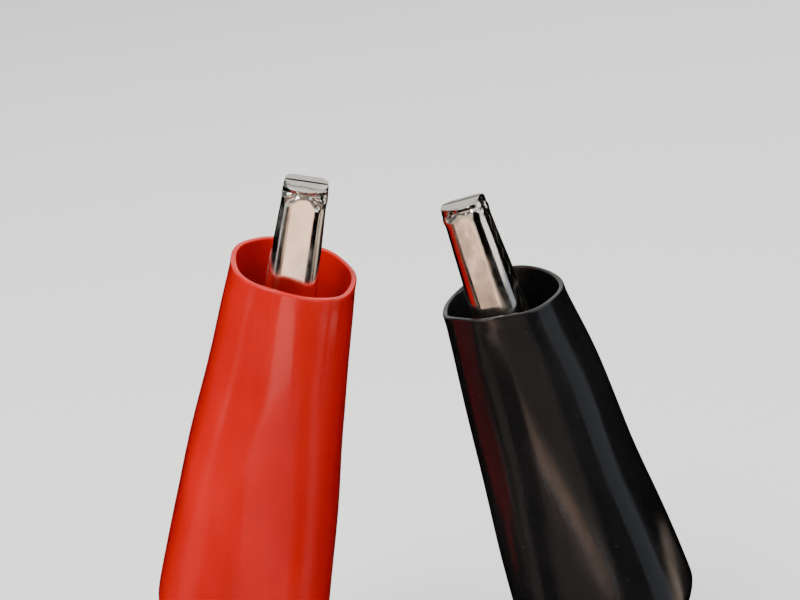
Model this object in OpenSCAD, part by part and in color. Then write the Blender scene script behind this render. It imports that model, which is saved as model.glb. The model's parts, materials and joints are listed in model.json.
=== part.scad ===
/* [Boot] */
// Length of a boot, from the end of its neck to its mouth
boot_len = 27; // [26.5:0.5:28]
// Width of a boot's mouth
mouth_w = 6.4; // [6.3:0.1:7]
// Depth of a boot's mouth, from the fixed jaw's side to the moving jaw's side
mouth_d = 7.5; // [7.5:0.1:8.2]
// Width of a boot's heel, which covers the ends of the levers
heel_w = 9.4; // [9.3:0.1:10]
// Depth of the heel on the fixed jaw's side of the neck
heel_near = 4.9; // [4.8:0.1:5.5]
// Depth of the heel on the moving jaw's side of the neck
heel_far = 5.25; // [5.2:0.05:5.8]
// How far the heel's widest place is from the neck's end
heel_z = 7.8; // [7.8:0.1:8.6]
// Thickness of the boot's wall
boot_wall = 0.55; // [0.4:0.05:0.55]
// How square the boot's section is at its heel: 2 is an ellipse
heel_square = 2.8; // [2.8:0.1:3.5]
// How square it is at its mouth
mouth_square = 2.4; // [2.4:0.1:3]
// Outside diameter of the neck
neck_d = 3.9; // [3.7:0.1:4.4]
// Bore of the neck, which the lead's insulation passes through
neck_bore_d = 2.5; // [2.2:0.1:2.6]
// Length of the neck below the heel's shoulder
neck_len = 4.6; // [4.2:0.1:4.8]

/* [Jaws] */
// How far the jaws' tips stand from the neck's end
tip_z = 32.5; // [32:0.1:33]
// Thickness of the sheet metal
sheet = 0.4; // [0.3:0.05:0.4]
// Width of the jaws at their tips
nose_w = 2.15; // [2:0.05:2.4]
// Width of the jaws where the ears begin to spread
throat_w = 2.8; // [2.6:0.1:3]
// Thickness of one closed jaw at its tip
nose_t = 1; // [0.9:0.05:1.1]
// Length of one tooth
tooth_pitch = 0.9; // [0.7:0.1:1.1]
// Height of the teeth
tooth_h = 0.4; // [0.3:0.05:0.5]
// Number of teeth on each edge of a jaw
tooth_n = 8; // [5:1:8]
// Gap between the closed edges
bite_gap = 0.12; // [0.1:0.01:0.2]

/* [Pivot and spring] */
// How far the pivot is from the neck's end
pivot_z = 20.5; // [20.3:0.1:20.7]
// How far the pivot and the bite are off the boot's axis
bite_y = -1.2; // [-1.25:0.05:-1.15]
// Diameter of the pivot pin
pin_d = 1.4; // [1.2:0.1:1.4]
// Diameter of the pin's heads
pin_head_d = 2.2; // [2:0.1:2.4]
// Running clearance of the moving jaw's ears on the pin, on the radius
pin_play = 0.06; // [0.03:0.01:0.09]
// Diameter of the spring's wire
wire_d = 0.35; // [0.3:0.01:0.35]
// Width of the spring's coil
coil_w = 1.5; // [1.2:0.1:1.6]

/* [Crimp] */
// Inside diameter of the barrel that grips the bared wire
crimp_bore_d = 1.8; // [1.6:0.1:1.9]
// Length of the barrel
crimp_len = 2.6; // [2.4:0.1:2.7]
// How far the barrel's open end is from the neck's end
crimp_z = 5; // [5:0.1:5.1]

/* [Pair] */
// Distance between the two necks
pair_x = 23.8; // [23:0.1:30]
// Height of the black neck above the red one
pair_z = -1.4; // [-5:0.1:5]
// Lean of the red clip, its tip towards the black one
red_lean = 9; // [0:0.5:10]
// Lean of the black clip, its tip towards the red one
black_lean = 19; // [10:0.5:20]
// Tilt of the red clip, its tip towards the near side
red_tilt = 3.5; // [0:0.5:5]
// Tilt of the black clip, its tip towards the far side
black_tilt = 6.5; // [0:0.5:8]
// Turn of the black clip about its own axis
black_roll = 16; // [0:1:20]

/* [Hidden] */
// Circles are drawn with this many sides
ROUND = 48;
// Points around the boot's section, and sections along its body and its shoulder
BOOT_SIDES = 32;
BODY_STEPS = 7;
SHOULDER_STEPS = 6;
// How quickly the boot widens behind its mouth, and how full its shoulder is
BOOT_FLARE = 1.2;
SHOULDER_FULLNESS = 0.7;
// How far the shoulder's first section stands out round the neck
NECK_STEP = 0.12;
// How far a cutting shape runs past what it cuts
PAST = 8;

// Outer half-widths of the ears: the moving jaw's turn inside the fixed jaw's
fixed_ear_x = 2.15;
moving_ear_x = 1.65;
fixed_ear_r = 1.45;
moving_ear_r = 1.3;
pin_head_t = 0.3;
// The channels open here, and the fixed one goes on as a strip to the crimp barrel
fixed_open_z = 10.6;
moving_end_z = 9.6;
neck_r = neck_d / 2;
barrel_r = crimp_bore_d / 2 + sheet;
// The strip's faces stay within the barrel's wall
strip_out_y = barrel_r - 0.04;
strip_in_y = crimp_bore_d / 2 + 0.04;
coil_r = pin_d / 2 + 0.1 + wire_d / 2;
seam_w = 0.3;

// Back line of each half, from the tip to the tail: distance along the clip, then across it
fixed_back = [
    [tip_z, bite_y - nose_t], [27, -2.5], [23, -2.75], [pivot_z, -2.9], [17, -3.1], [12, -3.5], [11, -3.5],
    [10.2, -3.3], [8.5, -1.75], [crimp_z + crimp_len + 0.1, -strip_out_y], [crimp_z + crimp_len - 0.3, -strip_out_y],
];
moving_back = [
    [tip_z, bite_y + nose_t], [27, 0.25], [23, 0.6], [pivot_z, 0.8], [19, 1.05], [16.5, 2],
    [13.5, 3.1], [10.5, 3.6], [moving_end_z, 3.65],
];
// Free edge of each half behind its teeth, from the tail to the teeth
fixed_edge = [
    [crimp_z + crimp_len - 0.3, -strip_in_y], [crimp_z + crimp_len + 0.1, -strip_in_y], [8.6, -1.2],
    [10.4, -2.95], [11, -2.95], [12, -2.8], [15.5, -2.3], [17, -1.8], [18, bite_y - bite_gap / 2],
];
moving_edge = [
    [moving_end_z, 3.15], [13.5, 2.2], [16.5, 0.9], [18, -0.4], [18.6, bite_y + bite_gap / 2],
];
// Half-width of each half, from the tip to the tail: half-width, then distance along the clip
fixed_plan = [
    [nose_w / 2, tip_z], [1.3, 27], [throat_w / 2, 24.4], [fixed_ear_x, 22.3], [fixed_ear_x, 11.2],
    [1.9, fixed_open_z], [0.95, 9.8], [0.8, crimp_z + crimp_len - 0.3],
];
moving_plan = [
    [nose_w / 2, tip_z], [1.3, 27], [throat_w / 2, 24.2], [moving_ear_x, 22.4], [moving_ear_x, 16.5],
    [2.15, 12], [2.15, 10.3], [1.7, moving_end_z],
];

function mix(a, b, t) = a + (b - a) * t;
function signed_pow(v, p) = sign(v) * pow(abs(v), p);

// Edge of the teeth from the throat to the tip, shifted to one side of the bite
function tooth_edge(shift) = [
    for (i = [2 * tooth_n : -1 : 0])
        [tip_z - i * tooth_pitch / 2, bite_y + shift + (i % 2 == 0 ? -1 : 1) * tooth_h / 2]
];

// A section of the boot: height, half-width, depth on each side, squareness
function boot_section(z, grow, shrink) = [
    z,
    mix(mouth_w / 2, heel_w / 2, grow) - shrink,
    mix(mouth_d / 2, heel_near, grow) - shrink,
    mix(mouth_d / 2, heel_far, grow) - shrink,
    mix(mouth_square, heel_square, grow),
];

// Section of the body at step i, counted from the heel to the mouth
function body_section(i, shrink) =
    let (t = i / BODY_STEPS)
    boot_section(mix(heel_z, boot_len, t), 1 - pow(t, BOOT_FLARE), shrink);

// Section of the rounded shoulder at step i, counted from the neck to the heel
function shoulder_section(i, shrink, end_r) =
    let (
        t = i / SHOULDER_STEPS,
        grow = pow((1 - cos(180 * t)) / 2, SHOULDER_FULLNESS),
        heel = boot_section(heel_z, 1, shrink)
    )
    [
        mix(neck_len, heel_z, t),
        mix(end_r, heel[1], grow),
        mix(end_r, heel[2], grow),
        mix(end_r, heel[3], grow),
        mix(2, heel_square, grow),
    ];

function boot_sections(shrink, end_r) = concat(
    [for (i = [0 : SHOULDER_STEPS - 1]) shoulder_section(i, shrink, end_r)],
    [for (i = [0 : BODY_STEPS]) body_section(i, shrink)]
);

// Points around one section
function section_ring(s) = [
    for (i = [0 : BOOT_SIDES - 1])
        let (t = 360 * i / BOOT_SIDES)
        [
            s[1] * signed_pow(cos(t), 2 / s[4]),
            (sin(t) < 0 ? s[2] : s[3]) * signed_pow(sin(t), 2 / s[4]),
            s[0],
        ]
];

// A list read backwards
function reversed(v) = [for (i = [len(v) - 1 : -1 : 0]) v[i]];

// A closed tube through rings of points, the last ring joined to the first
module ring_shell(rings) {
    n = len(rings[0]);
    m = len(rings);
    polyhedron(
        points = [for (ring = rings) each ring],
        faces = [
            for (j = [0 : m - 1])
                for (i = [0 : n - 1])
                    let (a = j * n, b = ((j + 1) % m) * n, k = (i + 1) % n)
                    each [[a + i, b + k, a + k], [a + i, b + i, b + k]]
        ]
    );
}

// Solid whose side view is a list of [along, across] points
module side_slab(points, half_w) {
    rotate([90, 0, 90])
        linear_extrude(2 * half_w, center = true)
            polygon([for (p = points) [p[1], p[0]]]);
}

// Solid whose plan is a half outline of [half-width, along] points, mirrored
module plan_slab(half_outline) {
    rotate([90, 0, 0])
        linear_extrude(2 * PAST, center = true)
            polygon(concat(half_outline, [for (p = reversed(half_outline)) [-p[0], p[1]]]));
}

// A pressed sheet channel: dir is the way its flanges point, 1 or -1, across the clip
module channel(back, edge, plan, dir, open_z) {
    inner_back = [for (p = back) [p[0], p[1] + dir * sheet]];
    inner_plan = concat(
        [[plan[0][0] - sheet, tip_z - sheet]],
        [for (i = [1 : len(plan) - 1]) if (plan[i][1] > open_z) [plan[i][0] - sheet, plan[i][1]]]
    );
    open_w = inner_plan[len(inner_plan) - 1][0];
    difference() {
        intersection() {
            side_slab(concat(back, edge), PAST);
            plan_slab(plan);
        }
        intersection() {
            side_slab(concat(inner_back, [[0, dir * PAST], [tip_z, dir * PAST]]), PAST);
            plan_slab(concat(inner_plan, [[open_w, open_z]]));
        }
    }
}

// The pair of flat ears that stand round the pivot
module ears(half_w, r) {
    for (side = [-1, 1])
        translate([side * (half_w - sheet / 2), bite_y, pivot_z])
            rotate([0, 90, 0])
                cylinder(h = sheet, r = r, center = true, $fn = ROUND);
}

// A hole across the clip at the pivot
module pivot_hole(r) {
    translate([0, bite_y, pivot_z])
        rotate([0, 90, 0])
            cylinder(h = PAST, r = r, center = true, $fn = ROUND);
}

// The barrel that is closed round the bared wire, with its seam open
module crimp_barrel() {
    half_seam = asin(seam_w / 2 / barrel_r);
    translate([0, 0, crimp_z])
        rotate([0, 0, 90 + half_seam])
            rotate_extrude(angle = 360 - 2 * half_seam, $fn = ROUND)
                translate([crimp_bore_d / 2, 0])
                    square([sheet, crimp_len]);
}

// Half that is crimped to the wire: its channel, with the strip that goes on to the barrel
module fixed_channel() {
    channel(fixed_back, concat(fixed_edge, tooth_edge(-bite_gap / 2)), fixed_plan, 1, fixed_open_z);
}

// Everything below the channel's open end
module below_channel() {
    translate([-PAST, -PAST, 0])
        cube([2 * PAST, 2 * PAST, fixed_open_z]);
}

// Jaw, ears and lever of the fixed half
module fixed_jaw() {
    difference() {
        union() {
            fixed_channel();
            ears(fixed_ear_x, fixed_ear_r);
        }
        pivot_hole(pin_d / 2);
        below_channel();
    }
}

// Tail of the fixed half: it meets the jaw face to face, and the two are one pressing
module crimp_tail() {
    intersection() {
        fixed_channel();
        below_channel();
    }
    crimp_barrel();
}

// Half that turns on the pin
module moving_jaw() {
    difference() {
        union() {
            channel(moving_back, concat(moving_edge, tooth_edge(bite_gap / 2)), moving_plan, -1, 0);
            ears(moving_ear_x, moving_ear_r);
        }
        pivot_hole(pin_d / 2 + pin_play);
    }
}

// Rivet whose two heads hold the fixed ears
module pivot_pin() {
    translate([0, bite_y, pivot_z])
        rotate([0, 90, 0]) {
            cylinder(h = 2 * fixed_ear_x, r = pin_d / 2, center = true, $fn = ROUND);
            for (side = [0, 1])
                mirror([0, 0, side])
                    translate([0, 0, fixed_ear_x])
                        cylinder(h = pin_head_t, r1 = pin_head_d / 2, r2 = pin_d / 2, $fn = ROUND);
        }
}

// One straight leg of the spring, from the coil to a lever: its ends are [across, along]
module spring_leg(x, from, to) {
    run = to - from;
    translate([x, from[0], from[1]])
        rotate([-atan2(run[0], run[1]), 0, 0])
            cylinder(h = norm(run), r = wire_d / 2, $fn = ROUND);
}

// Torsion spring: its coil is drawn as a plain sleeve
module torsion_spring() {
    leg_x = (coil_w - wire_d) / 2;
    translate([0, bite_y, pivot_z])
        rotate([0, 90, 0])
            difference() {
                cylinder(h = coil_w, r = coil_r + wire_d / 2, center = true, $fn = ROUND);
                cylinder(h = 2 * coil_w, r = coil_r - wire_d / 2, center = true, $fn = ROUND);
            }
    spring_leg(-leg_x, [bite_y - coil_r, pivot_z], [-2.75, 14.5]);
    spring_leg(leg_x, [bite_y + coil_r, pivot_z], [2, 14.5]);
}

// Soft sleeve over the levers: its neck is a plain tube that meets the shoulder face to face
module boot() {
    ring_shell(concat(
        [for (s = boot_sections(0, neck_r + NECK_STEP)) section_ring(s)],
        reversed([for (s = boot_sections(boot_wall, neck_r - boot_wall / 2)) section_ring(s)])
    ));
    difference() {
        cylinder(h = neck_len, r = neck_r, $fn = ROUND);
        translate([0, 0, -1])
            cylinder(h = neck_len + 2, r = neck_bore_d / 2, $fn = ROUND);
    }
}

// The red clip leans one way from the origin, the black one the other way from beside it
module place_red() {
    rotate([red_tilt, 0, 0])
        rotate([0, red_lean, 0])
            children();
}

module place_black() {
    translate([pair_x, 0, pair_z])
        rotate([-black_tilt, 0, 0])
            rotate([0, -black_lean, 0])
                rotate([0, 0, -black_roll])
                    children();
}

module red_fixed_jaw() {
    color("silver") place_red() fixed_jaw();
}

module red_crimp_tail() {
    color("silver") place_red() crimp_tail();
}

module red_moving_jaw() {
    color("gainsboro") place_red() moving_jaw();
}

module red_pivot_pin() {
    color("darkgray") place_red() pivot_pin();
}

module red_spring() {
    color("dimgray") place_red() torsion_spring();
}

module red_boot() {
    color("firebrick") place_red() boot();
}

module black_fixed_jaw() {
    color("silver") place_black() fixed_jaw();
}

module black_crimp_tail() {
    color("silver") place_black() crimp_tail();
}

module black_moving_jaw() {
    color("gainsboro") place_black() moving_jaw();
}

module black_pivot_pin() {
    color("darkgray") place_black() pivot_pin();
}

module black_spring() {
    color("dimgray") place_black() torsion_spring();
}

module black_boot() {
    color([0.09, 0.09, 0.1]) place_black() boot();
}

red_fixed_jaw();
red_crimp_tail();
red_moving_jaw();
red_pivot_pin();
red_spring();
red_boot();
black_fixed_jaw();
black_crimp_tail();
black_moving_jaw();
black_pivot_pin();
black_spring();
black_boot();
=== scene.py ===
"""A pair of small test-lead clips: pressed jaws, rivets, torsion springs and soft flared boots."""
import json
import logging
import math
from dataclasses import dataclass
from enum import Enum
from typing import Iterable, Iterator, Sequence

import bmesh
import bpy
from mathutils import Matrix, Vector
from mathutils.noise import noise as smooth_noise


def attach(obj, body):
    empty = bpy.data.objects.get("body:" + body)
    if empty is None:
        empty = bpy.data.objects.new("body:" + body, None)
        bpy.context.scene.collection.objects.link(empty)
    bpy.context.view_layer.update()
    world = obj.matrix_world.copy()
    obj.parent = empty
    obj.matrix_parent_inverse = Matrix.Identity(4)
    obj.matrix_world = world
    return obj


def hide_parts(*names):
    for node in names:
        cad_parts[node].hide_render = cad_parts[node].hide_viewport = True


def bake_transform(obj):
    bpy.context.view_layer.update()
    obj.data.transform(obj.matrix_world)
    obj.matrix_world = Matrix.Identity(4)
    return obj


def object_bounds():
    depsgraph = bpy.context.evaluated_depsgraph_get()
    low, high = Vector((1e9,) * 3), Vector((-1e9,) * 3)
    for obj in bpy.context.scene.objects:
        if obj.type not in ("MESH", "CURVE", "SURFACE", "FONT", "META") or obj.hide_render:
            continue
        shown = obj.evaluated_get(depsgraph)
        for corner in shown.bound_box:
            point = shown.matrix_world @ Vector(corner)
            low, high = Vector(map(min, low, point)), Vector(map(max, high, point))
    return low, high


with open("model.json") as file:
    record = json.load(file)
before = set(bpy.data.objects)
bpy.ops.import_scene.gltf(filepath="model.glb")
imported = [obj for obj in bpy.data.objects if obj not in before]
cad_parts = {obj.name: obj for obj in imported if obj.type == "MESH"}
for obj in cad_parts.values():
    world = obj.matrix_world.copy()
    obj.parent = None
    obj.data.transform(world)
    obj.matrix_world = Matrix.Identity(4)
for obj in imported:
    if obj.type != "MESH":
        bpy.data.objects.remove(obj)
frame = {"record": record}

CAD_BOUNDS = [list(corner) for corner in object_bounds()]
MM = 0.001
LOG = logging.getLogger("clip_pair")

Point = tuple[float, float, float]
Flat = tuple[float, float]
Row = list[Point]
Grid = list[list[int]]
Socket = bpy.types.NodeSocket
# Half-width, depth on the near side, depth on the far side, and squareness: 2 is an ellipse
Section = tuple[float, float, float, float]


class Side(Enum):
    """The side of the bite that a pressed half's back is on."""

    NEAR = -1
    FAR = 1


class ClipName(Enum):
    """The two clips of the pair, as the frame names them."""

    RED = "red"
    BLACK = "black"


def mix(a: float, b: float, t: float) -> float:
    """The value a share t of the way from a to b."""
    return a + (b - a) * t


def smooth(t: float) -> float:
    """A smooth step from 0 to 1, flat at both ends."""
    t = min(max(t, 0.0), 1.0)
    return t * t * (3 - 2 * t)


def bump_at(value: float, centre: float, width: float) -> float:
    """A bell curve of height 1 at centre, falling to about a third one width away."""
    return math.exp(-(((value - centre) / width) ** 2))


def signed_power(value: float, power: float) -> float:
    """A power that keeps the value's sign."""
    return math.copysign(abs(value) ** power, value)


def ease_through(places: Sequence[float], values: Sequence[float], at: float) -> float:
    """A smooth curve through four stations that never swings past one of them.

    Args:
        places: where the stations are.
        values: what the curve is at each.
        at: a place between the second and the third.

    Returns:
        The curve's value there.
    """
    p, q = values[1], values[2]
    span = places[2] - places[1]
    low = (q - values[0]) / (places[2] - places[0]) * span
    high = (values[3] - p) / (places[3] - places[1]) * span
    if (q - p) * low <= 0:
        low = 0.0
    if (q - p) * high <= 0:
        high = 0.0
    t = (at - places[1]) / span
    t2, t3 = t * t, t * t * t
    return (2 * t3 - 3 * t2 + 1) * p + (t3 - 2 * t2 + t) * low + (3 * t2 - 2 * t3) * q + (t3 - t2) * high


def circle(count: int) -> list[float]:
    """Angles that divide a full turn into equal steps."""
    return [2 * math.pi * i / count for i in range(count)]


def link(item: bpy.types.Object) -> bpy.types.Object:
    """Puts an object into the scene and gives it back."""
    bpy.context.scene.collection.objects.link(item)
    return item


@dataclass(frozen=True)
class ClipFrame:
    """Where one clip stands. Its own axes are across the jaws, through the bite and along the clip.

    The clip's millimetres start at the end of its boot's neck, on the boot's axis.
    """

    name: ClipName
    matrix: Matrix

    @classmethod
    def from_record(cls, name: ClipName, record: dict) -> "ClipFrame":
        """Reads the clip's place from its cord inlet and its jaw hinge.

        Args:
            name: which clip of the pair.
            record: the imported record.

        Returns:
            The clip's frame.
        """
        inlet = next(m for m in record["mounts"] if m["name"] == f"{name.value}_cord_inlet")
        joints = record["behaviour"]["joints"]
        hinge = next(j for j in joints if j["name"] == f"{name.value}_jaw_hinge")
        along = -Vector(inlet["axis"]).normalized()
        across = -Vector(hinge["axis"]).normalized()
        matrix = Matrix((across, along.cross(across), along)).transposed().to_4x4()
        matrix.translation = Vector(inlet["pos_m"])
        return cls(name, matrix)

    @property
    def clip_body(self) -> str:
        """The body of the crimped half and the rivet."""
        return f"{self.name.value}_clip"

    @property
    def jaw_body(self) -> str:
        """The body of the half that turns."""
        return f"{self.name.value}_jaw"

    def node(self, part: str) -> str:
        """The name of one of this clip's CAD nodes."""
        return f"{self.name.value}_{part}"

    def place(self, point: Sequence[float]) -> Vector:
        """A point in the clip's millimetres, in metres in the row's frame."""
        return self.matrix @ (Vector(point) * MM)


class PieceMesh:
    """Gathers a piece's points, in the clip's millimetres, and its faces."""

    def __init__(self) -> None:
        """Starts with nothing in it."""
        self.points: Row = []
        self.faces: list[tuple[int, ...]] = []

    def add_points(self, points: Iterable[Point]) -> int:
        """Adds points.

        Args:
            points: the points to add.

        Returns:
            The index of the first of them.
        """
        first = len(self.points)
        self.points.extend(points)
        return first

    def add_grid(self, rows: list[Row], round_row: bool = False, round_rows: bool = False) -> Grid:
        """Joins rows of equal length with four-sided faces.

        Args:
            rows: the rows of points.
            round_row: whether each row closes on itself.
            round_rows: whether the last row joins the first.

        Returns:
            The indices of the points, row by row.
        """
        n = len(rows[0])
        index = []
        for row in rows:
            first = self.add_points(row)
            index.append(list(range(first, first + n)))
        for j in range(len(rows) if round_rows else len(rows) - 1):
            low, high = index[j], index[(j + 1) % len(rows)]
            for i in range(n if round_row else n - 1):
                k = (i + 1) % n
                self.faces.append((low[i], low[k], high[k], high[i]))
        return index

    def add_strip(self, a: Sequence[int], b: Sequence[int]) -> None:
        """Joins two equal lists of points with faces, such as the edges of two grids."""
        for i in range(len(a) - 1):
            self.faces.append((a[i], a[i + 1], b[i + 1], b[i]))

    def cap_ends(self, index: Grid) -> None:
        """Closes a tube's first and last ring with a face each."""
        self.faces += [tuple(index[0]), tuple(index[-1])]

    def build(self, name: str, place: ClipFrame, sharp_deg: float = 180.0) -> bpy.types.Object:
        """Makes the piece's object.

        Args:
            name: the object's name.
            place: the clip that the points belong to.
            sharp_deg: edges that turn by more than this stay sharp.

        Returns:
            The object, at the origin, with its clip's millimetres kept as an attribute.
        """
        mesh = bpy.data.meshes.new(name)
        mesh.from_pydata([place.place(p) for p in self.points], [], self.faces)
        keep_clip_coordinates(mesh, place)
        work = bmesh.new()
        work.from_mesh(mesh)
        bmesh.ops.recalc_face_normals(work, faces=work.faces)
        work.to_mesh(mesh)
        work.free()
        mesh.polygons.foreach_set("use_smooth", [True] * len(mesh.polygons))
        if sharp_deg < 180.0:
            mesh.set_sharp_from_angle(angle=math.radians(sharp_deg))
        return link(bpy.data.objects.new(name, mesh))


def keep_clip_coordinates(mesh: bpy.types.Mesh, place: ClipFrame) -> None:
    """Stores each point's place in the clip's millimetres, which the finishes are laid out by.

    Args:
        mesh: the piece's mesh.
        place: the clip that it belongs to.
    """
    back = place.matrix.inverted()
    layer = mesh.attributes.get("clip_mm") or mesh.attributes.new("clip_mm", "FLOAT_VECTOR", "POINT")
    values = [c / MM for v in mesh.vertices for c in back @ v.co]
    layer.data.foreach_set("vector", values)


def bake_modifiers(piece: bpy.types.Object) -> None:
    """Replaces a piece's mesh by what its modifiers make of it.

    Args:
        piece: the piece.
    """
    bpy.context.view_layer.update()
    evaluated = piece.evaluated_get(bpy.context.evaluated_depsgraph_get())
    piece.data = bpy.data.meshes.new_from_object(evaluated)
    piece.modifiers.clear()


def soften_edges(piece: bpy.types.Object, width_mm: float) -> None:
    """Rounds a piece's sharp edges a little.

    Args:
        piece: the piece.
        width_mm: how wide the rounding is.
    """
    bevel = piece.modifiers.new("edge_break", "BEVEL")
    bevel.width = width_mm * MM
    bevel.segments = 2
    bevel.limit_method = "ANGLE"
    bevel.angle_limit = math.radians(38)
    bevel.use_clamp_overlap = True
    bevel.harden_normals = True


# Finishes


class ShaderGraph:
    """A material's nodes, with short ways to make the ones that these finishes use."""

    def __init__(self, name: str) -> None:
        """Starts a material with its shader and nothing else.

        Args:
            name: the material's name.
        """
        self.material = bpy.data.materials.new(name)
        self.material.use_nodes = True
        self.nodes = self.material.node_tree.nodes
        self.links = self.material.node_tree.links
        self.shader = self.nodes["Principled BSDF"]

    def set(self, **values: float | Sequence[float]) -> None:
        """Sets the shader's own numbers and colours; an underscore in a name is a space."""
        for key, value in values.items():
            self.shader.inputs[key.replace("_", " ")].default_value = value

    def feed(self, key: str, socket: Socket) -> None:
        """Links a socket to one of the shader's inputs."""
        self.links.new(socket, self.shader.inputs[key])

    def place(self, scale: Point) -> Socket:
        """The clip's millimetres, stretched.

        Args:
            scale: how much, along each axis.

        Returns:
            The stretched coordinates.
        """
        source = self.nodes.new("ShaderNodeAttribute")
        source.attribute_name = "clip_mm"
        stretch = self.nodes.new("ShaderNodeVectorMath")
        stretch.operation = "MULTIPLY"
        stretch.inputs[1].default_value = scale
        self.links.new(source.outputs["Vector"], stretch.inputs[0])
        return stretch.outputs["Vector"]

    def noise(self, scale: Point, detail: float = 3.0, roughness: float = 0.55) -> Socket:
        """Noise in the clip's millimetres.

        Args:
            scale: features in a millimetre, along each axis.
            detail: how many finer layers it has.
            roughness: how strong those layers are.

        Returns:
            The noise, from 0 to 1.
        """
        node = self.nodes.new("ShaderNodeTexNoise")
        node.inputs["Scale"].default_value = 1.0
        node.inputs["Detail"].default_value = detail
        node.inputs["Roughness"].default_value = roughness
        self.links.new(self.place(scale), node.inputs["Vector"])
        return node.outputs["Fac"]

    def specks(self, scale: float, size: float) -> Socket:
        """Scattered small dots: 1 on a dot and 0 elsewhere.

        Args:
            scale: cells in a millimetre.
            size: a dot's radius, as a share of a cell.

        Returns:
            The dots' mask.
        """
        cells = self.nodes.new("ShaderNodeTexVoronoi")
        cells.inputs["Scale"].default_value = 1.0
        self.links.new(self.place((scale, scale, scale)), cells.inputs["Vector"])
        dots = self.remap(cells.outputs["Distance"], (size, size * 0.5), (0.0, 1.0))
        chosen = self.remap(self.noise((1.3, 1.3, 1.3), 1.0), (0.52, 0.62), (0.0, 1.0))
        return self.times(dots, chosen)

    def remap(self, socket: Socket, source: Flat, target: Flat) -> Socket:
        """Maps one range of a value onto another, held at its ends.

        Args:
            socket: the value.
            source: the range that it is read over.
            target: what that range becomes.

        Returns:
            The new value.
        """
        node = self.nodes.new("ShaderNodeMapRange")
        numbers = (*source, *target)
        for key, value in zip(("From Min", "From Max", "To Min", "To Max"), numbers):
            node.inputs[key].default_value = value
        self.links.new(socket, node.inputs["Value"])
        return node.outputs["Result"]

    def math(self, operation: str, a: Socket, b: Socket | float) -> Socket:
        """Puts two values together.

        Args:
            operation: the name of what is done with them.
            a: the first value.
            b: the second one, which may be a plain number.

        Returns:
            The result.
        """
        node = self.nodes.new("ShaderNodeMath")
        node.operation = operation
        self.links.new(a, node.inputs[0])
        if isinstance(b, (int, float)):
            node.inputs[1].default_value = b
        else:
            self.links.new(b, node.inputs[1])
        return node.outputs["Value"]

    def times(self, a: Socket, b: Socket | float) -> Socket:
        """The product of two values."""
        return self.math("MULTIPLY", a, b)

    def plus(self, a: Socket, b: Socket | float) -> Socket:
        """The sum of two values."""
        return self.math("ADD", a, b)

    def blend(self, share: Socket, a: Point | Socket, b: Point | Socket) -> Socket:
        """A colour between two others.

        Args:
            share: 0 for the first and 1 for the second.
            a: the first colour.
            b: the second colour.

        Returns:
            The colour.
        """
        node = self.nodes.new("ShaderNodeMix")
        node.data_type = "RGBA"
        self.links.new(share, node.inputs["Factor"])
        for slot, colour in ((6, a), (7, b)):
            if isinstance(colour, Socket):
                self.links.new(colour, node.inputs[slot])
            else:
                node.inputs[slot].default_value = (*colour, 1.0)
        return node.outputs[2]

    def relief(self, height: Socket, depth_mm: float, strength: float = 1.0) -> None:
        """Gives the shader a bumped normal.

        Args:
            height: the relief, from 0 to 1.
            depth_mm: how deep it is.
            strength: how much of it shows.
        """
        node = self.nodes.new("ShaderNodeBump")
        node.inputs["Distance"].default_value = depth_mm * MM
        node.inputs["Strength"].default_value = strength
        self.links.new(height, node.inputs["Height"])
        self.feed("Normal", node.outputs["Normal"])


@dataclass(frozen=True)
class Finish:
    """A surface finish, and the record's material slot that it belongs to."""

    slot: str

    def material(self) -> bpy.types.Material:
        """Makes the finish's material."""
        raise NotImplementedError

    def dress(self, piece: bpy.types.Object) -> None:
        """Puts the finish on a piece and names its slot.

        Args:
            piece: the piece.
        """
        found = bpy.data.materials.get(self.slot + "_finish")
        piece.data.materials.clear()
        piece.data.materials.append(found or self.material())


@dataclass(frozen=True)
class SoftPvc(Finish):
    """Glossy soft PVC, dipped or moulded: slow ripples, flow lines, faint dust."""

    colour: Point = (0.53, 0.0035, 0.0025)
    deep: Point = (0.43, 0.003, 0.002)
    dust: Point = (0.75, 0.3, 0.25)
    dust_share: float = 0.5
    scatter: float = 0.0
    gloss: Flat = (0.1, 0.2)

    def material(self) -> bpy.types.Material:
        """Makes the PVC's material.

        Returns:
            The material.
        """
        graph = ShaderGraph(self.slot + "_finish")
        slow = graph.noise((0.22, 0.22, 0.12), 2.0)
        body = graph.blend(graph.remap(slow, (0.35, 0.65), (0.0, 1.0)), self.deep, self.colour)
        dots = graph.times(graph.specks(5.0, 0.1), self.dust_share)
        graph.feed("Base Color", graph.blend(dots, body, self.dust))
        handled = graph.noise((0.9, 0.9, 0.35), 4.0, 0.6)
        worn = graph.remap(handled, (0.35, 0.7), self.gloss)
        graph.feed("Roughness", graph.plus(worn, graph.times(dots, 0.5)))
        flow = graph.times(graph.noise((3.0, 3.0, 0.25), 3.0), 0.6)
        peel = graph.times(graph.noise((9.0, 9.0, 7.0), 2.0), 0.4)
        graph.relief(graph.plus(graph.plus(flow, peel), graph.times(dots, 2.0)), 0.012)
        graph.set(IOR=1.53, Subsurface_Weight=self.scatter, Subsurface_Scale=0.6 * MM)
        graph.set(Subsurface_Radius=(1.0, 0.16, 0.1), Coat_Weight=0.0, Coat_Roughness=0.06)
        return graph.material


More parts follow.
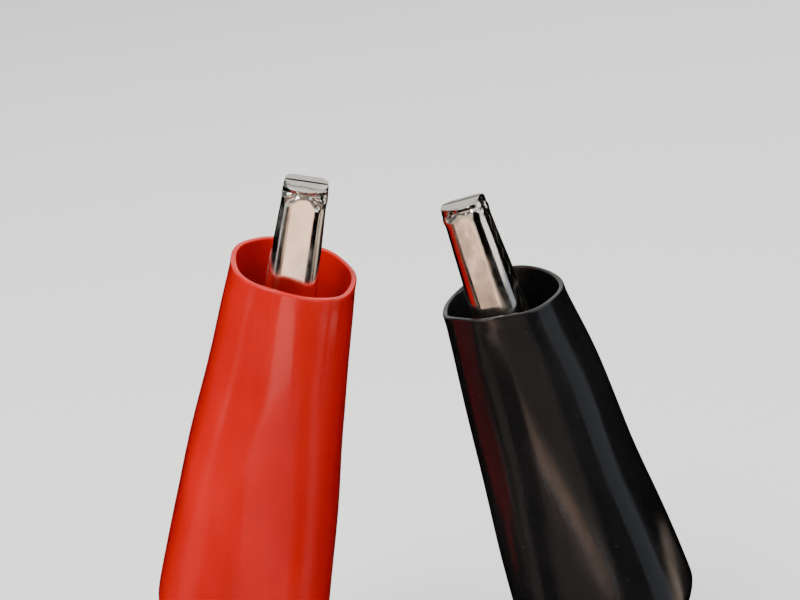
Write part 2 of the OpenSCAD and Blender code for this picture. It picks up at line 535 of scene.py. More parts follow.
@dataclass(frozen=True)
class BrightPlate(Finish):
    """Bright nickel on pressed steel: faint rolling lines, smudges and fine pits."""

    colour: Point = (0.83, 0.79, 0.73)
    smudged: Point = (0.66, 0.62, 0.57)
    gloss: Flat = (0.07, 0.24)

    def material(self) -> bpy.types.Material:
        """Makes the plate's material.

        Returns:
            The material.
        """
        graph = ShaderGraph(self.slot + "_finish")
        handled = graph.noise((0.8, 0.8, 0.5), 4.0, 0.62)
        smudge = graph.remap(handled, (0.42, 0.68), (0.0, 1.0))
        pits = graph.specks(7.0, 0.09)
        dull = graph.plus(graph.times(smudge, 0.45), pits)
        graph.feed("Base Color", graph.blend(dull, self.colour, self.smudged))
        lines = graph.noise((26.0, 26.0, 0.7), 3.0, 0.6)
        rough = graph.plus(graph.remap(handled, (0.4, 0.72), self.gloss), graph.times(lines, 0.05))
        graph.feed("Roughness", graph.plus(rough, graph.times(pits, 0.2)))
        rolled = graph.times(lines, 0.35)
        waves = graph.times(graph.noise((1.3, 1.3, 0.7), 2.0), 0.5)
        graph.relief(graph.plus(graph.plus(rolled, waves), graph.times(pits, -0.5)), 0.006)
        graph.set(Metallic=1.0, IOR=1.9)
        return graph.material


@dataclass(frozen=True)
class DrawnSteel(Finish):
    """Plain drawn or turned steel with a dull plate: lines and darker grime."""

    colour: Point = (0.6, 0.58, 0.55)
    grime: Point = (0.3, 0.28, 0.25)
    gloss: Flat = (0.22, 0.42)

    def material(self) -> bpy.types.Material:
        """Makes the steel's material.

        Returns:
            The material.
        """
        graph = ShaderGraph(self.slot + "_finish")
        dirt = graph.noise((1.8, 1.8, 1.8), 4.0, 0.6)
        patches = graph.remap(dirt, (0.4, 0.72), (0.0, 1.0))
        graph.feed("Base Color", graph.blend(patches, self.colour, self.grime))
        lines = graph.noise((4.0, 30.0, 30.0), 2.0)
        uneven = graph.plus(dirt, graph.times(lines, 0.3))
        graph.feed("Roughness", graph.remap(uneven, (0.5, 0.9), self.gloss))
        graph.relief(graph.plus(lines, dirt), 0.004)
        graph.set(Metallic=1.0)
        return graph.material


@dataclass(frozen=True)
class StudioPaper:
    """Pale matt paper for the floor."""

    colour: Point = (0.86, 0.855, 0.845)

    def material(self) -> bpy.types.Material:
        """Makes the paper's material, laid out by the paper's own coordinates.

        Returns:
            The material.
        """
        graph = ShaderGraph("studio_paper")
        coordinates = graph.nodes.new("ShaderNodeTexCoord")
        fibre = graph.nodes.new("ShaderNodeTexNoise")
        fibre.inputs["Scale"].default_value = 900.0
        graph.links.new(coordinates.outputs["Object"], fibre.inputs["Vector"])
        darker = tuple(c * 0.97 for c in self.colour)
        graph.feed("Base Color", graph.blend(fibre.outputs["Fac"], self.colour, darker))
        graph.relief(fibre.outputs["Fac"], 0.02, 0.4)
        graph.set(Roughness=1.0, Specular_IOR_Level=0.0)
        return graph.material


@dataclass(frozen=True)
class Finishes:
    """Every finish on the pair."""

    plate: Finish = BrightPlate("jaw_plate")
    rivet: Finish = DrawnSteel("rivet")
    wire: Finish = DrawnSteel(
        "spring_wire", colour=(0.5, 0.49, 0.47), grime=(0.24, 0.22, 0.2), gloss=(0.18, 0.36)
    )
    red: Finish = SoftPvc("red_pvc", scatter=0.22)
    black: Finish = SoftPvc(
        "black_pvc",
        colour=(0.007, 0.0065, 0.0065),
        deep=(0.004, 0.004, 0.004),
        dust=(0.22, 0.22, 0.24),
        dust_share=0.6,
        gloss=(0.1, 0.22),
    )


# Pressed halves


@dataclass(frozen=True)
class Press:
    """The section of a pressed half at one distance along the clip, in millimetres.

    The section runs from the middle of the back: flat, then round a bend, then straight down the wall.
    """

    along: float
    back: float
    flat: float
    bend: float
    wrap_deg: float
    wall: float


@dataclass(frozen=True)
class NosePress:
    """How a half's nose came out of the press, in millimetres.

    The sheet is drawn in under a rolled lip, which leaves a pointed flat, a crease on each side of it
    and a full corner outside each crease. A crease is its depth and how steeply it runs down from the
    middle. Heights are measured from the tip. Places across the jaw run from -1 to 1, and they are
    named u here.
    """

    lean: float
    left_crease: Flat
    right_crease: Flat
    lip_height: float = 0.1
    lip_at: float = 0.2
    lip_wave: float = 0.05
    lip_wave_turn: float = 4.2
    groove_depth: float = 0.05
    groove_deeper: float = 0.07
    groove_at: float = 0.42
    ridge_width: float = 0.11
    crease_at: float = 0.5
    crease_width: float = 0.13
    crease_u: Flat = (0.15, 0.62)
    crease_slope_u: float = 0.28
    corner_at: float = 0.72
    corner_share: float = 0.6
    corner_u: float = 0.68
    fade: float = 0.2
    bulge: float = 0.05
    bulge_at: float = 0.75
    bulge_length: float = 0.24
    pinch: float = 0.06
    pinch_length: float = 0.12

    def lip_and_groove(self, u: float, from_tip: float, seed: float) -> float:
        """The rolled lip and the groove under it, both a little wavy.

        Args:
            u: place across the jaw.
            from_tip: distance below the tip.
            seed: where the wave starts.

        Returns:
            How far the back is pushed towards the bite; a lip is less than nothing.
        """
        wavy = self.lip_wave * math.cos(self.lip_wave_turn * u + seed) + self.lean * u
        lip = -self.lip_height * bump_at(from_tip, self.lip_at + wavy, self.ridge_width)
        deep = self.groove_depth + self.groove_deeper * abs(u)
        return lip + deep * bump_at(from_tip, self.groove_at + wavy, self.ridge_width)

    def dent(self, u: float, from_tip: float, seed: float) -> float:
        """How far the press pushes the back towards the bite.

        Args:
            u: place across the jaw.
            from_tip: distance below the tip.
            seed: where the lip's wave starts.

        Returns:
            The depth of the dent; a lip or a full corner is less than nothing.
        """
        depth = 0.0
        inner, outer = self.crease_u
        for sign, (deep, slope) in ((-1, self.left_crease), (1, self.right_crease)):
            side = sign * u
            line = self.crease_at + slope * max(side - self.crease_slope_u, 0.0)
            crease = deep * bump_at(from_tip, line, self.crease_width) * smooth((side - inner) / self.fade)
            crease *= 1 - smooth((side - outer) / self.fade)
            corner = smooth((side - self.corner_u) / self.fade)
            full = bump_at(from_tip, self.corner_at, self.fade) * corner
            depth += crease - self.corner_share * deep * full
        return self.lip_and_groove(u, from_tip, seed) + depth

    def swell(self, u: float, from_tip: float) -> float:
        """How far a corner stands out sideways: full below the lip and drawn in under it.

        Args:
            u: place across the jaw, without its sign.
            from_tip: distance below the tip.

        Returns:
            The distance; drawn in is less than nothing.
        """
        corner_from = 0.6
        full = self.bulge * bump_at(from_tip, self.bulge_at, self.bulge_length)
        drawn_in = self.pinch * bump_at(from_tip, self.groove_at, self.pinch_length)
        return (full - drawn_in) * smooth((u - corner_from) / 0.4)


@dataclass(frozen=True)
class PressedHalf:
    """One stamped half of a clip: jaw, ears and lever in one bent sheet.

    The stations run from the tail to the tip, and the seed says where in the noise the sheet's small
    irregularities come from.
    """

    side: Side
    stations: tuple[Press, ...]
    ear_radius: float
    hole_radius: float
    seed: float
    nose: NosePress
    sheet: float = 0.4
    bite: float = -1.2
    bite_gap: float = 0.12
    pivot: float = 20.5
    tip: float = 32.5
    nose_round: float = 0.26
    nose_length: float = 3.0
    press_depth: float = 0.35
    ear_lead: float = 1.2
    tooth_pitch: float = 0.9
    tooth_height: float = 0.4
    teeth: int = 8
    waviness: float = 0.012
    edge_break: float = 0.035
    sharp_deg: float = 40.0
    step: float = 0.225
    fine_length: float = 2.7
    fine_step: float = 0.075
    fine_count: int = 30
    flat_steps: int = 16
    bend_steps: int = 8
    wall_steps: int = 5

    def section(self, along: float) -> Press:
        """The section at one place, on smooth curves through the stations.

        Args:
            along: the place.

        Returns:
            The section.
        """
        keys = self.stations
        last = len(keys) - 1
        k = next((i for i in range(1, last + 1) if along <= keys[i].along), last)
        around = [keys[i] for i in (max(k - 2, 0), k - 1, k, min(k + 1, last))]
        places = [key.along for key in around]
        sizes = [
            ease_through(places, [getattr(key, name) for key in around], along)
            for name in ("back", "flat", "bend", "wrap_deg", "wall")
        ]
        return Press(along, *sizes)

    def tooth_wave(self, along: float) -> float:
        """How far the toothed edge stands off the bite's middle.

        Args:
            along: place along the clip.

        Returns:
            The distance, through the bite.
        """
        from_tip = (self.tip - along) / self.tooth_pitch
        if from_tip > self.teeth:
            return 0.0
        saw = 2 * abs(2 * (from_tip % 1.0) - 1) - 1
        return -saw * self.tooth_height / 2

    def edge(self, along: float, section: Press) -> float:
        """Where the wall's free edge is: a plain wall at the lever, round ears, then the teeth.

        Args:
            along: place along the clip.
            section: the section there.

        Returns:
            The edge's place, through the clip.
        """
        sign = self.side.value
        natural = section.back - sign * (section.bend + section.wall)
        ears_start = self.pivot - self.ear_radius - self.ear_lead
        if along < ears_start:
            return natural
        seam = self.bite + sign * self.bite_gap / 2 + self.tooth_wave(along)
        edge = mix(natural, seam, smooth(along - ears_start))
        off = along - self.pivot
        if abs(off) < self.ear_radius:
            lobe = self.bite - sign * math.sqrt(self.ear_radius**2 - off**2)
            edge = min(edge, lobe) if sign > 0 else max(edge, lobe)
        return edge

    def outline(self, section: Press, inset: float, reach: float) -> list[Flat]:
        """Half of a section, from the middle of its back: flat, bend and wall.

        Args:
            section: the section.
            inset: how far inside the sheet's outer face.
            reach: how deep the free edge is under the back.

        Returns:
            Points across the half and down from its back.
        """
        bend = self.bend(section, inset)
        turn = math.radians(section.wrap_deg)
        half_steps = self.flat_steps // 2
        outline = [(section.flat * i / half_steps, 0.0) for i in range(half_steps)]
        for i in range(self.bend_steps + 1):
            a = turn * i / self.bend_steps
            outline.append((section.flat + bend * math.sin(a), bend * (1 - math.cos(a))))
        end = outline[-1]
        upright = section.wrap_deg > 80
        wall = max(reach - end[1], 0.02) if upright else section.wall
        for i in range(1, self.wall_steps + 1):
            run = wall * i / self.wall_steps
            outline.append((end[0] + run * math.cos(turn), end[1] + run * math.sin(turn)))
        return outline

    def bend(self, section: Press, inset: float) -> float:
        """The bend's radius on a face that far inside the sheet."""
        return max(section.bend - inset, 0.02)

    def squash(self, left: float) -> float:
        """How much of its depth the nose keeps that close to its tip, so that it ends round."""
        t = min(max(1 - left / self.nose_round, 0.0), 1.0)
        return max(math.sqrt(1 - t * t), 0.05)

    def row(self, along: float, inset: float) -> Row:
        """The points of one section.

        Args:
            along: where the section is.
            inset: how far inside the sheet's outer face.

        Returns:
            The points, from one free edge to the other.
        """
        section = self.section(along)
        sign = self.side.value
        edge = self.edge(along, section)
        back = section.back - sign * inset
        outline = self.outline(section, inset, abs(edge - back))
        tip_at = self.tip - inset
        squash = self.squash(tip_at - along)
        half_width = max(outline[-1][0], outline[self.flat_steps // 2 + self.bend_steps][0])
        pressed = self.bend(section, inset) + self.press_depth
        points = []
        for x, depth in [(-x, d) for x, d in reversed(outline[1:])] + outline:
            y = back - sign * depth
            if along > self.tip - self.nose_length and depth < pressed:
                u, from_tip = x / half_width, self.tip - along
                y -= sign * self.nose.dent(u, from_tip, self.seed) * (1 - smooth(depth / pressed))
                x += math.copysign(self.nose.swell(abs(u), from_tip), x) if x else 0.0
            y = mix(edge, y, squash)
            spot = Vector((x * 0.9 + self.seed * 9, y * 0.9, along * 0.45))
            wave = self.waviness * smooth_noise(spot)
            points.append((x * (1 + wave), y + wave, min(along, tip_at)))
        return points

    def heights(self) -> list[float]:
        """Where the sections are, closer together at the nose.

        Returns:
            Their places, from the tail to the tip.
        """
        low, nose = self.stations[0].along, self.tip - self.fine_length
        count = round((nose - low) / self.step)
        body = [nose - self.step * i for i in range(count, -1, -1)]
        body[0] = low
        fine = [nose + self.fine_step * i for i in range(1, self.fine_count + 1)]
        cap = [self.tip - self.nose_round * (1 - math.sin(math.radians(a))) for a in range(0, 91, 10)]
        return body + fine + cap

    def mesh(self) -> PieceMesh:
        """Builds the bent sheet, both faces and its cut edges.

        Returns:
            The sheet.
        """
        sheet = PieceMesh()
        folded = 2.5
        outer_rows, inner_rows = [], []
        for z in self.heights():
            outer_rows.append(self.row(z, 0.0))
            drawn_back = self.sheet * smooth((z - self.tip + folded) / folded)
            inner_rows.append(self.row(z - drawn_back, self.sheet))
        outer = sheet.add_grid(outer_rows)
        inner = sheet.add_grid(inner_rows)
        sheet.add_strip([r[0] for r in outer], [r[0] for r in inner])
        sheet.add_strip([r[-1] for r in inner], [r[-1] for r in outer])
        sheet.add_strip(inner[0], outer[0])
        sheet.add_strip(outer[-1], inner[-1])
        return sheet

    @classmethod
    def ring(cls, x: float, radius: float, sides: int) -> Row:
        """A circle round the pivot.

        Args:
            x: its place across the clip.
            radius: its radius.
            sides: how many points it has.

        Returns:
            Its points.
        """
        turn = circle(sides)
        return [(x, cls.bite + radius * math.cos(a), cls.pivot + radius * math.sin(a)) for a in turn]

    def drill(self, piece: bpy.types.Object, place: ClipFrame) -> None:
        """Cuts the rivet's hole through both ears.

        Args:
            piece: the half.
            place: the clip that it belongs to.
        """
        reach, sides = 4.0, 48
        hole = PieceMesh()
        rings = [self.ring(x, self.hole_radius, sides) for x in (-reach, reach)]
        hole.cap_ends(hole.add_grid(rings, round_row=True))
        cutter = hole.build("hole_cutter", place)
        cut = piece.modifiers.new("rivet_hole", "BOOLEAN")
        cut.operation = "DIFFERENCE"
        cut.solver = "EXACT"
        cut.object = cutter
        bake_modifiers(piece)
        bpy.data.objects.remove(cutter)

    def make(self, place: ClipFrame, nodes: Sequence[str], body: str, finish: Finish) -> bpy.types.Object:
        """Builds, drills, dresses and seats the half.

        Args:
            place: the clip that it belongs to.
            nodes: the CAD nodes that it stands for.
            body: the body that it rides on.
            finish: its finish.

        Returns:
            The half's object.
        """
        piece = self.mesh().build(place.node(nodes[0].replace("jaw", "half")), place)
        self.drill(piece, place)
        keep_clip_coordinates(piece.data, place)
        piece.data.polygons.foreach_set("use_smooth", [True] * len(piece.data.polygons))
        piece.data.set_sharp_from_angle(angle=math.radians(self.sharp_deg))
        soften_edges(piece, self.edge_break)
        finish.dress(piece)
        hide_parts(*(place.node(node) for node in nodes))
        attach(piece, body)
        return piece


def crimped_half(seed: float, nose: NosePress) -> PressedHalf:
    """The half with the tail: its back is on the near side, and its ears are outside.

    Args:
        seed: where in the noise its small irregularities come from.
        nose: how its nose came out of the press.

    Returns:
        The half.
    """
    stations = (
        Press(4.8, -1.3, 0.02, 1.28, 168, 0.02),
        Press(7.2, -1.3, 0.02, 1.28, 168, 0.02),
        Press(7.6, -1.32, 0.1, 1.2, 120, 0.05),
        Press(8.3, -1.68, 0.6, 0.7, 45, 0.05),
        Press(9.0, -2.35, 0.75, 0.5, 35, 0.08),
        Press(10.0, -3.2, 1.15, 0.6, 60, 0.1),
        Press(10.8, -3.48, 1.52, 0.6, 88, 0.12),
        Press(12.0, -3.5, 1.55, 0.6, 90, 0.2),
        Press(15.5, -3.22, 1.55, 0.6, 90, 0.5),
        Press(17.5, -3.07, 1.55, 0.6, 90, 1.1),
        Press(20.5, -2.9, 1.55, 0.6, 90, 1.3),
        Press(22.0, -2.83, 1.5, 0.6, 90, 1.2),
        Press(23.2, -2.74, 0.94, 0.72, 90, 1.1),
        Press(24.4, -2.67, 0.6, 0.8, 90, 1.0),
        Press(27.0, -2.5, 0.52, 0.78, 90, 0.9),
        Press(30.0, -2.33, 0.52, 0.67, 90, 0.7),
        Press(32.5, -2.2, 0.52, 0.55, 90, 0.5),
    )
    return PressedHalf(Side.NEAR, stations, 1.45, 0.7, seed, nose)


def turning_half(seed: float, nose: NosePress) -> PressedHalf:
    """The half that turns: its back is on the far side, and its ears are inside the other's.

    Args:
        seed: where in the noise its small irregularities come from.
        nose: how its nose came out of the press.

    Returns:
        The half.
    """
    stations = (
        Press(9.6, 3.6, 1.2, 0.5, 88, 0.1),
        Press(10.3, 3.62, 1.62, 0.5, 90, 0.12),
        Press(12.0, 3.4, 1.64, 0.5, 90, 0.2),
        Press(13.5, 3.02, 1.5, 0.5, 90, 0.4),
        Press(16.5, 1.98, 1.15, 0.5, 90, 0.6),
        Press(18.5, 1.2, 1.15, 0.5, 90, 1.0),
        Press(20.5, 0.8, 1.15, 0.5, 90, 1.3),
        Press(22.4, 0.64, 1.14, 0.5, 90, 1.2),
        Press(24.2, 0.48, 0.72, 0.66, 90, 1.1),
        Press(27.0, 0.25, 0.52, 0.78, 90, 0.9),
        Press(30.0, -0.02, 0.52, 0.67, 90, 0.7),
        Press(32.5, -0.2, 0.52, 0.55, 90, 0.5),
    )
    return PressedHalf(Side.FAR, stations, 1.3, 0.76, seed, nose)


# Rivet and spring


@dataclass(frozen=True)
class Rivet:
    """The pivot pin, with a formed head at each end."""

    radius: float = 0.7
    head_radius: float = 1.1
    head: float = 0.3
    grip: float = 4.3
    dimple: float = 0.35
    sides: int = 48

    def outline(self) -> list[Flat]:
        """Half of the rivet's outline, from the middle of a head.

        Returns:
            Radius and distance from the rivet's middle.
        """
        half = self.grip / 2
        top = half + self.head
        dimple = [(0.01, top - 0.14), (self.dimple * 0.7, top - 0.13), (self.dimple, top - 0.03)]
        tilts = [math.radians(a) for a in range(30, 91, 10)]
        dome = [(self.head_radius * math.sin(a), half + self.head * math.cos(a)) for a in tilts]
        under = [(self.head_radius - 0.04, half + 0.01), (self.radius + 0.02, half + 0.01)]
        return dimple + dome + under + [(self.radius, half - 0.05)]

    def make(self, place: ClipFrame, finish: Finish) -> bpy.types.Object:
        """Turns the rivet and seats it in the ears.

        Args:
            place: the clip that it belongs to.
            finish: its finish.

        Returns:
            The rivet's object.
        """
        half = self.outline()
        whole = half + [(r, -x) for r, x in reversed(half)]
        rivet = PieceMesh()
        rows = [PressedHalf.ring(x, radius, self.sides) for radius, x in whole]
        rivet.cap_ends(rivet.add_grid(rows, round_row=True))
        piece = rivet.build(place.node("rivet"), place, 50)
        finish.dress(piece)
        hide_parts(place.node("pivot_pin"))
        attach(piece, place.clip_body)
        return piece


@dataclass(frozen=True)
class TorsionSpring:
    """The wire spring round the rivet, with a leg against each lever."""

    wire: float = 0.165
    coil: float = 0.975
    turns: float = 3.5
    half_width: float = 0.58
    leg_end: float = 14.5
    near_rest: float = -2.75
    far_rest: float = 1.98
    hook: float = 0.45
    wire_sides: int = 14
    steps_a_turn: int = 28
    leg_steps: int = 9

    @property
    def leg_top(self) -> float:
        """Where a leg's hooked end begins, along the clip."""
        return self.leg_end + 0.12

    def hooked_end(self, side: int, rest: float) -> Row:
        """A leg's end, bent across under its lever.

        Args:
            side: -1 for the near leg and 1 for the far one.
            rest: where the lever is, through the clip.

        Returns:
            Its points, from the wire's end inwards.
        """
        across = side * self.half_width
        return [
            (across - side * self.hook, rest, self.leg_end),
            (across - side * 0.1, rest, self.leg_end + 0.02),
            (across, rest, self.leg_top),
        ]

    def leg(self, side: int, rest: float) -> Row:
        """A whole leg, from its end to where it meets the coil.

        Args:
            side: -1 for the near leg and 1 for the far one.
            rest: where its lever is, through the clip.

        Returns:
            Its points.
        """
        steps = self.leg_steps
        across, start = side * self.half_width, PressedHalf.bite + side * self.coil
        points = self.hooked_end(side, rest)
        for i in range(1, steps):
            t = i / steps
            points.append((across, mix(rest, start, t), mix(self.leg_top, PressedHalf.pivot, t)))
        return points

    def path(self) -> Row:
        """The wire's centre line.

        Returns:
            Its points, from the near leg's end to the far leg's.
        """
        bite, pivot = PressedHalf.bite, PressedHalf.pivot
        count = round(self.turns * self.steps_a_turn)
        coil = []
        for i in range(count + 1):
            a = 2 * math.pi * self.turns * i / count
            x = mix(-self.half_width, self.half_width, i / count)
            coil.append((x, bite - self.coil * math.cos(a), pivot + self.coil * math.sin(a)))
        return self.leg(-1, self.near_rest) + coil + self.leg(1, self.far_rest)[::-1]

    def make(self, place: ClipFrame, finish: Finish) -> bpy.types.Object:
        """Winds the spring.

        Args:
            place: the clip that it belongs to.
            finish: its finish.

        Returns:
            The spring's object.
        """
        spring = PieceMesh()
        rings = tube_rows(self.path(), self.wire, self.wire_sides)
        spring.cap_ends(spring.add_grid(rings, round_row=True))
        piece = spring.build(place.node("torsion_spring"), place, 50)
        finish.dress(piece)
        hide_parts(place.node("spring"))
        bite, pivot = PressedHalf.bite, PressedHalf.pivot
        start = place.place((0, bite - self.coil, pivot))
        end = place.place((0, bite + self.coil, pivot))
        place.clip_body
        place.jaw_body
        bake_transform(piece)
        return piece


def tube_rows(path: Row, radius: float, sides: int) -> list[Row]:
    """Rings of points round a path, without twist.

    Args:
        path: the centre line.
        radius: the tube's radius.
        sides: points in a ring.

    Returns:
        One ring for each point of the path.
    """
    points = [Vector(p) for p in path]
    rows = []
    up = Vector((1, 0, 0))
    for i, point in enumerate(points):
        ahead = points[min(i + 1, len(points) - 1)] - points[max(i - 1, 0)]
        ahead.normalize()
        up = up - ahead * up.dot(ahead)
        if up.length < 1e-4:
            up = ahead.orthogonal()
        up.normalize()
        side = ahead.cross(up)
        spokes = [up * math.cos(a) + side * math.sin(a) for a in circle(sides)]
        rows.append([tuple(point + spoke * radius) for spoke in spokes])
    return rows


# Boots


@dataclass(frozen=True)
class Boot:
    """A soft boot: a squarish sleeve that flares from its mouth to its heel, then a round neck.

    The mouth's cut is uneven: it is raised all round, slants to one side, pitches to the far side and
    folds down at its two sides.
    """

    seed: float
    phase: float
    length: float = 27.0
    mouth_width: float = 6.4
    mouth_depth: float = 7.5
    heel_width: float = 9.4
    heel_near: float = 4.9
    heel_far: float = 5.25
    heel_at: float = 7.8
    wall: float = 0.55
    heel_square: float = 2.8
    mouth_square: float = 2.1
    lip_wall: float = 0.3
    lip_length: float = 1.8
    rim: float = 0.15
    neck_radius: float = 1.95
    neck_bore: float = 1.25
    neck_length: float = 4.6
    flare: float = 1.2
    fullness: float = 0.7
    sides: int = 112
    raised: float = 0.0
    slant: float = 0.0
    pitch: float = 0.0
    fold: float = 0.0
    waviness: float = 0.05
    cut_length: float = 6.0
    slow_swell: float = 0.11
    crease_height: float = 0.025
    creases: int = 7
    waist_depth: float = 0.1
    waist_at: float = 10.5
    waist_length: float = 3.0
    lip_swell: float = 0.05
    give_through: float = 0.236
    give_along: float = -0.0174
    give_start: float = 0.46

    def outer(self, along: float) -> Section:
        """The section of the wall's outer face.

        Args:
            along: distance from the neck's end.

        Returns:
            The section.
        """
        heel = (self.heel_width / 2, self.heel_near, self.heel_far, self.heel_square)
        if along < self.heel_at:
            return self.shoulder(along, self.neck_radius, heel)
        share = 1 - ((along - self.heel_at) / (self.length - self.heel_at)) ** self.flare
        mouth = (self.mouth_width / 2, self.mouth_depth / 2, self.mouth_depth / 2, self.mouth_square)
        return tuple(mix(m, h, share) for m, h in zip(mouth, heel))

    def shoulder(self, along: float, end: float, heel: Section) -> Section:
        """A section between the neck and the heel.

        Args:
            along: distance from the neck's end.
            end: the neck's radius on that face.
            heel: the heel's section on that face.

        Returns:
            The section.
        """
        t = min(max((along - self.neck_length) / (self.heel_at - self.neck_length), 0.0), 1.0)
        share = ((1 - math.cos(math.pi * t)) / 2) ** self.fullness
        return tuple(mix(e, h, share) for e, h in zip((end, end, end, 2.0), heel))

    def inner(self, along: float) -> Section:
        """The section of the wall's inner face, which is the bore in the neck.

        Args:
            along: distance from the neck's end.

        Returns:
            The section.
        """
        shoulder_lag = 0.25
        if along >= self.heel_at:
            width, near, far, square = self.outer(along)
            thinning = smooth((along - self.length + self.lip_length) / self.lip_length)
            wall = mix(self.wall, self.lip_wall, thinning)
            return width - wall, near - wall, far - wall, square
        heel = [e - self.wall for e in (self.heel_width / 2, self.heel_near, self.heel_far)]
        return self.shoulder(along - shoulder_lag, self.neck_bore, (*heel, self.heel_square))

    def ripple(self, angle: float, along: float) -> float:
        """How far the soft wall stands out of its plain shape: slow swells, creases, a waist and a lip.

        Args:
            angle: the direction from the boot's axis.
            along: distance from the neck's end.

        Returns:
            The distance, in millimetres.
        """
        spot = Vector((math.cos(angle) * 1.1 + self.seed, math.sin(angle) * 1.1, along * 0.16))
        slow = self.slow_swell * smooth_noise(spot)
        fold = math.sin(self.creases * angle + 0.35 * math.sin(along * 0.5))
        creases = self.crease_height * fold * smooth((along - 6) / 6)
        drawn_in = bump_at(along, self.length - self.waist_at, self.waist_length)
        waist = -self.waist_depth * drawn_in * max(math.cos(angle), 0.0)
        lip = self.lip_swell * bump_at(along, self.length, 0.35)
        return smooth((along - self.neck_length) / 3) * (slow + creases + waist) + lip

    def lift(self, angle: float, along: float) -> float:
        """How far the mouth's uneven cut moves a point along the boot.

        Args:
            angle: the direction from the boot's axis.
            along: distance from the neck's end.

        Returns:
            The distance, in millimetres.
        """
        share = smooth((along - self.length + self.cut_length) / self.cut_length)
        cut = self.raised + self.slant * math.cos(angle) + self.pitch * math.sin(angle)
        cut += self.fold * math.cos(2 * angle)
        wave = math.sin(3 * angle + self.phase) + 0.4 * math.sin(7 * angle + 2 * self.phase)
        return share * (cut + self.waviness * wave)

    def point(self, along: float, depth: float, step: int) -> Point:
        """A point of the wall.

        Args:
            along: distance from the neck's end.
            depth: 0 at the outer face and 1 at the inner one.
            step: which point round the section.

        Returns:
            The point, in the clip's millimetres.
        """
        angle = 2 * math.pi * step / self.sides
        width, near, far, square = (mix(o, i, depth) for o, i in zip(self.outer(along), self.inner(along)))
        x = width * signed_power(math.cos(angle), 2 / square)
        y = (near if math.sin(angle) < 0 else far) * signed_power(math.sin(angle), 2 / square)
        out = self.ripple(angle, along) / math.hypot(x, y)
        return x * (1 + out), y * (1 + out), along + self.lift(angle, along)

    def profile(self) -> list[Flat]:
        """The wall's closed outline, up its outer face, round the lip, down inside and round the foot.

        Returns:
            Distance along the boot, and depth in the wall from 0 to 1.
        """
        rim, top = self.rim, self.length - self.rim
        neck_end, heel_end = self.neck_length - 0.6, self.heel_at + 1
        neck_steps, shoulder_steps, body_steps = 8, 26, 44
        bulk, square = 0.6, 0.8
        up = [mix(rim, neck_end, i / neck_steps) for i in range(neck_steps)]
        up += [mix(neck_end, heel_end, i / shoulder_steps) for i in range(shoulder_steps)]
        up += [mix(heel_end, top, i / body_steps) for i in range(body_steps + 1)]
        turn = [math.radians(15 * i) for i in range(1, 12)]
        ends = [(rim * math.sin(a) ** bulk, signed_power(math.cos(a), square)) for a in turn]
        mouth = [(top + rise, (1 - c) / 2) for rise, c in ends]
        foot = [(rim - rise, (1 + c) / 2) for rise, c in ends]
        return [(z, 0.0) for z in up] + mouth + [(z, 1.0) for z in reversed(up)] + foot

    def make(self, place: ClipFrame, finish: Finish) -> bpy.types.Object:
        """Builds the boot.

        Args:
            place: the clip that it belongs to.
            finish: its finish.

        Returns:
            The boot's object.
        """
        skin = PieceMesh()
        rows = [[self.point(z, depth, i) for i in range(self.sides)] for z, depth in self.profile()]
        skin.add_grid(rows, round_row=True, round_rows=True)
        piece = skin.build(place.node("soft_boot"), place)
        finish.dress(piece)
        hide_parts(place.node("boot"))
        start, end = (tuple(place.place(point)) for point in self.squeeze())
        place.clip_body
        place.jaw_body
        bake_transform(piece)
        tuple(start)
        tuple(end)
        return piece

    def squeeze(self) -> tuple[Point, Point]:
        """Where the wall would start to follow the lever, and where it would follow fully.

        Returns:
            The two places, in the clip's millimetres.
        """
        slope = self.give_through**2 + self.give_along**2
        reaches = (self.give_start / slope, (self.give_start + 1) / slope)
        start, end = ((0.0, self.give_through * reach, self.give_along * reach) for reach in reaches)
        return start, end


# The pair


@dataclass(frozen=True)
class Clip:
    """One whole clip."""

    place: ClipFrame
    boot: Boot
    pvc: Finish
    finishes: Finishes
    seed: float
    near_nose: NosePress
    far_nose: NosePress = NosePress(0.04, (0.07, 1.2), (0.07, 1.2))

    def pieces(self) -> Iterator[bpy.types.Object]:
        """Makes the clip's pieces one by one, from the inside out.

        Yields:
            Each piece, dressed; the halves and the rivet on their bodies.
        """
        place, finishes = self.place, self.finishes
        crimped = crimped_half(self.seed, self.near_nose)
        turning = turning_half(-self.seed, self.far_nose)
        yield crimped.make(place, ["fixed_jaw", "crimp_tail"], place.clip_body, finishes.plate)
        yield turning.make(place, ["moving_jaw"], place.jaw_body, finishes.plate)
        yield Rivet().make(place, finishes.rivet)
        yield TorsionSpring().make(place, finishes.wire)
        yield self.boot.make(place, self.pvc)

    def make(self) -> None:
        """Builds the clip and reports each piece."""
        for piece in self.pieces():
            LOG.info("%s: %d faces", piece.name, len(piece.data.polygons))


# Studio


@dataclass(frozen=True)
class StudioCamera:
    """The camera: a long lens, looking a little down at the jaws."""

    elevation_deg: float = 20.8
    lens: float = 100.0
    sensor: float = 36.0
    view_width_mm: float = 41.75
    target_mm: Point = (9.7, 0.0, 24.4)

    def make(self) -> bpy.types.Object:
        """Places the camera.

        Returns:
            The camera's object.
        """
        data = bpy.data.cameras.new("studio_camera")
        data.lens = self.lens
        data.sensor_width = self.sensor
        data.clip_start = 0.005
        distance = self.view_width_mm * MM * self.lens / self.sensor
        tilt = math.radians(self.elevation_deg)
        camera = link(bpy.data.objects.new("studio_camera", data))
        back = Vector((0, -math.cos(tilt), math.sin(tilt)))
        camera.location = Vector(self.target_mm) * MM + back * distance
        camera.rotation_euler = back.to_track_quat("Z", "Y").to_euler()
        bpy.context.scene.camera = camera
        return camera


